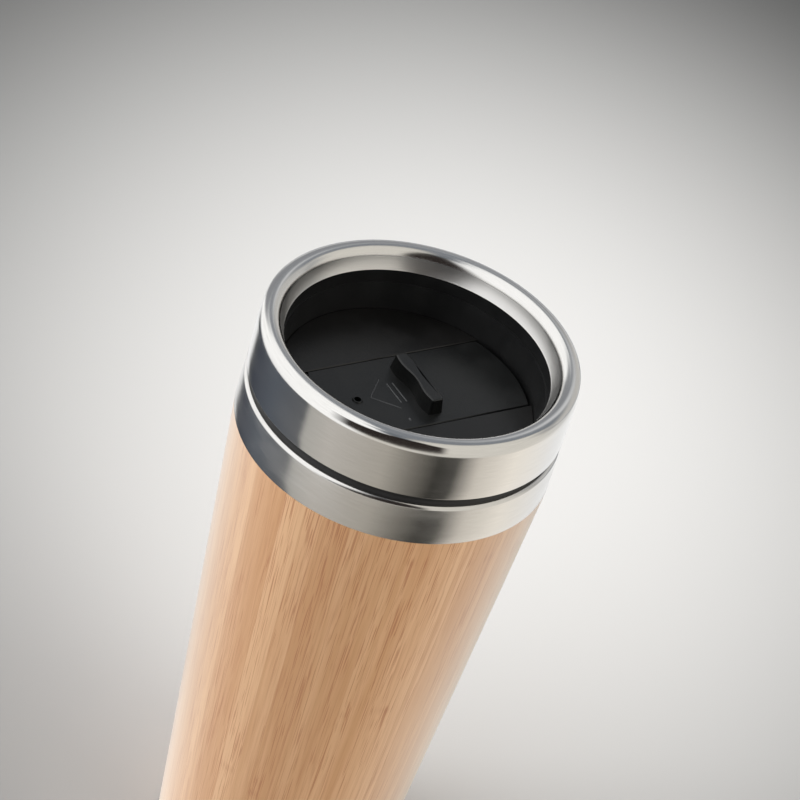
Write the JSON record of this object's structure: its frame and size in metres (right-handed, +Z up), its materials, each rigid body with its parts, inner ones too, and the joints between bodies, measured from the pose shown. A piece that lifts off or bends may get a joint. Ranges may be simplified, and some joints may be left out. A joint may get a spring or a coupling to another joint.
{
  "type": "lidded travel mug",
  "caption": "Tapered bamboo travel mug with a steel liner and collar, and a screw-on steel-rimmed lid whose black dish holds a slider over the drinking opening.",
  "frame": {"origin": "middle of the rubber foot's lower face, on the surface that the mug stands on", "axes": "+Z up along the mug's axis; +X along the slider's track, towards the drinking opening; +Y across the slider"},
  "size_m": [0.085, 0.085, 0.1862],
  "materials": {
    "foot_pad": "matt non-slip rubber",
    "base_cap": "moulded, fine spark texture",
    "liner_cradle": "moulded, plain",
    "bamboo_sleeve": "sanded and oiled laminated bamboo, grain upright",
    "carrier_ring": "moulded, plain",
    "liner": "drawn, satin inside",
    "steel_collar": "satin, brushed round the axis",
    "lid_gasket": "matt silicone",
    "lid_core": "moulded, fine texture, satin",
    "lid_ring": "satin, brushed round the axis",
    "deck_left": "moulded, fine texture",
    "deck_right": "moulded, fine texture",
    "slider": "moulded, fine texture",
    "slider_seal": "matt silicone"
  },
  "bodies": {
    "cup": {"foot_pad": "foot_pad", "base_cap": "base_cap", "liner_cradle": "liner_cradle", "bamboo_sleeve": "bamboo_sleeve", "carrier_ring": "carrier_ring", "liner": "liner", "steel_collar": "steel_collar"},
    "lid_seal": {"lid_gasket": "lid_gasket"},
    "lid": {"lid_core": "lid_core", "lid_ring": "lid_ring", "deck_left": "deck_left", "deck_right": "deck_right"},
    "slide_plate": {"slider": "slider", "slider_seal": "slider_seal"}
  },
  "joints": [
    {"name": "lid_lift", "type": "slide", "parent": "cup", "child": "lid_seal", "axis": [0, 0, 1], "range_m": [0, 0.024]},
    {"name": "lid_turn", "type": "hinge", "parent": "lid_seal", "child": "lid", "pos_m": [0, 0, 0.168], "axis": [0, 0, 1], "range_deg": [0, 720]},
    {"name": "slider_slide", "type": "slide", "parent": "lid", "child": "slide_plate", "axis": [-1, 0, 0], "range_m": [0, 0.0074]}
  ],
  "couplings": [
    {"joint": "lid_lift", "follows": "lid_turn", "m_per_rad": 0.0019099}
  ]
}
